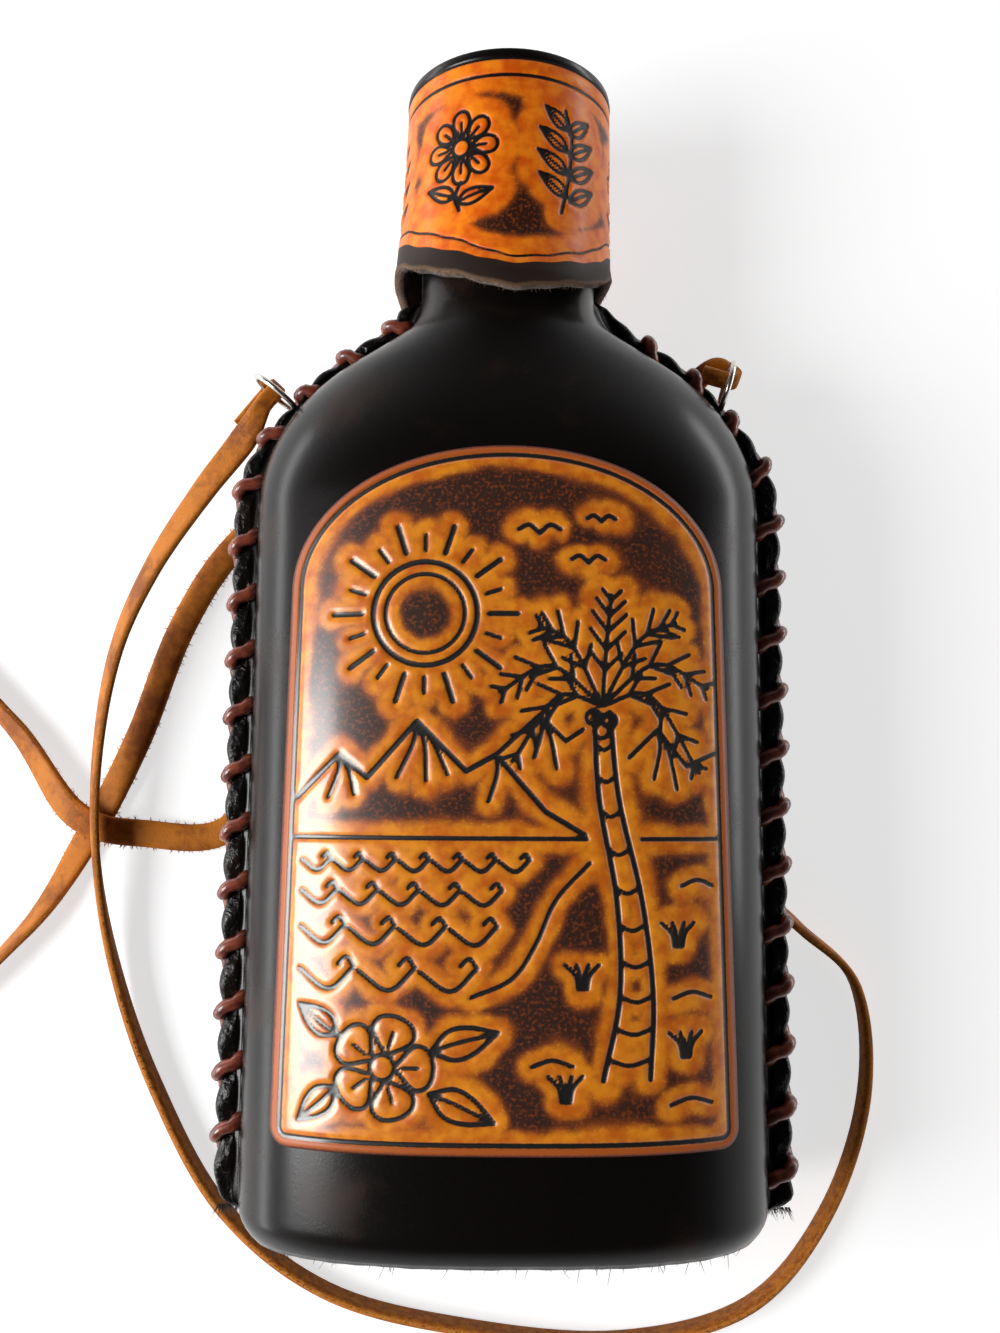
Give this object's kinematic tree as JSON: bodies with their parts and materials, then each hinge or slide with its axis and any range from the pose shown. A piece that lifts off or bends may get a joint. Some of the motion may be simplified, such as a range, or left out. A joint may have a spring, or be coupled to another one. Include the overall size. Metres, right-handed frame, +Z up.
{
  "type": "leather-wrapped bottle",
  "caption": "Flat glass flask in a laced two-part leather cover with a raised tooled front panel, leather-sleeved screw cap, shoulder rings and a loose carrying strap.",
  "frame": {"origin": "middle of the bottle's footprint as it lies on its back, on the table, without the strap", "axes": "+Z up, out of the decorated front; +Y along the bottle from its base to its cap; +X to the right as seen from above with the cap away from the viewer"},
  "size_m": [0.2221, 0.2192, 0.0457],
  "materials": {
    "glass": "clear, smooth",
    "black_leather": "dyed black, satin, fine grain",
    "amber_leather": "tooled, antiqued amber, waxed",
    "lace_leather": "red-brown lace, glossy",
    "strap_leather": "cognac, rough-cut edges and suede back",
    "nickel": "nickel-plated wire",
    "cap_plastic": "moulded, black",
    "liner": "pale foam"
  },
  "bodies": {
    "bottle": {"glass_bottle": "glass", "front_leather": "black_leather", "back_leather": "black_leather", "base_leather": "black_leather", "lace_left": "lace_leather", "lace_right": "lace_leather", "shoulder_strap": "strap_leather"},
    "left_ring": {"ring_left": "nickel"},
    "right_ring": {"ring_right": "nickel"},
    "cap_seal": {"cap_liner": "liner"},
    "cap": {"cap_shell": "cap_plastic", "cap_sleeve": "amber_leather", "cap_top": "black_leather"}
  },
  "joints": [
    {"name": "cap_rise", "type": "slide", "parent": "bottle", "child": "cap_seal", "axis": [0, 1, 0], "range_m": [0, 0.0048]},
    {"name": "cap_turn", "type": "hinge", "parent": "cap_seal", "child": "cap", "pos_m": [0, 0.08, 0.0222], "axis": [0, 1, 0], "range_deg": [0, 540]},
    {"name": "left_ring_swing", "type": "hinge", "parent": "bottle", "child": "left_ring", "pos_m": [-0.03717, 0.03953, 0.0222], "axis": [0, 0, 1], "range_deg": [-55, 55], "deforming": ["shoulder_strap"]},
    {"name": "right_ring_swing", "type": "hinge", "parent": "bottle", "child": "right_ring", "pos_m": [0.03717, 0.03953, 0.0222], "axis": [0, 0, 1], "range_deg": [-65, 20], "deforming": ["shoulder_strap"]}
  ],
  "couplings": [
    {"joint": "cap_rise", "follows": "cap_turn", "m_per_rad": 0.00050532}
  ]
}
